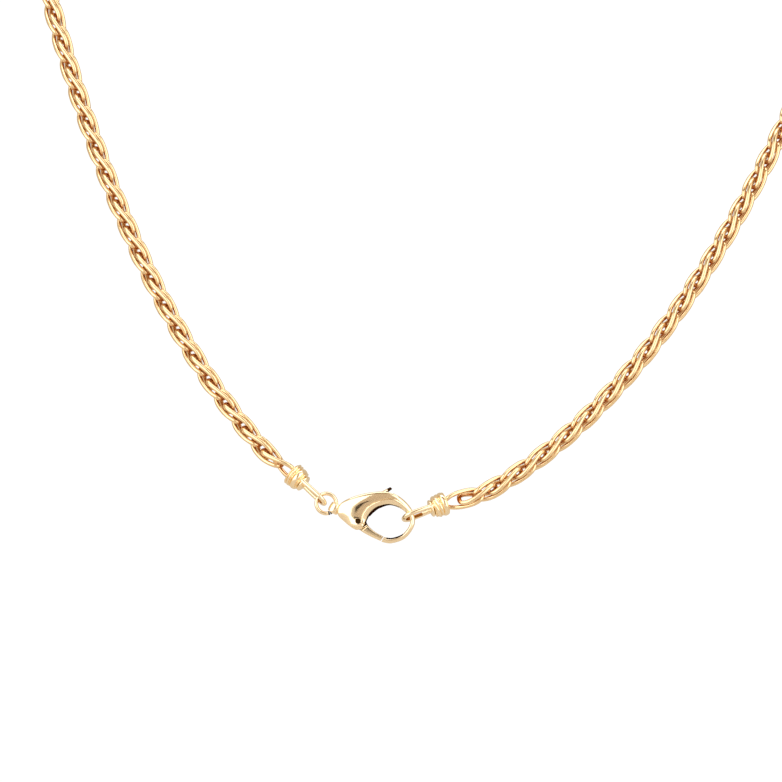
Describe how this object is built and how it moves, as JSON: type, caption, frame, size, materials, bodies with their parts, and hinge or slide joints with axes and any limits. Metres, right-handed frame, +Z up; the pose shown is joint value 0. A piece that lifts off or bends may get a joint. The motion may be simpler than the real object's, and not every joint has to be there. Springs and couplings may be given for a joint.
{
  "type": "wheat chain necklace with lobster clasp",
  "caption": "Round woven wheat chain necklace in yellow gold, closed at the front by a lobster clasp with a jump ring and ribbed end caps.",
  "frame": {"origin": "middle of the chain at the nape, where the necklace hangs on the back of the neck", "axes": "+X to the viewer's right, +Y away from the viewer towards the wearer's back, +Z up"},
  "size_m": [0.1494, 0.0774, 0.1311],
  "materials": {
    "chain_gold": "polished yellow gold, slightly warm",
    "clasp_gold": "mirror polished pale yellow gold"
  },
  "bodies": {
    "necklace": {"chain_left": "chain_gold", "chain_right": "chain_gold", "end_cap_left": "clasp_gold", "end_cap_right": "clasp_gold", "jump_ring": "clasp_gold", "clasp_body": "clasp_gold", "pivot_pin": "clasp_gold"},
    "lever": {"clasp_lever": "clasp_gold"}
  },
  "joints": [
    {"name": "lever_pivot", "type": "hinge", "parent": "necklace", "child": "lever", "pos_m": [-0.0083, -0.07323, -0.12572], "axis": [-0.0523, -0.9986, 0], "range_deg": [0, 26], "stiffness_Nm_per_rad": 0.002, "springref_deg": -20.05}
  ]
}
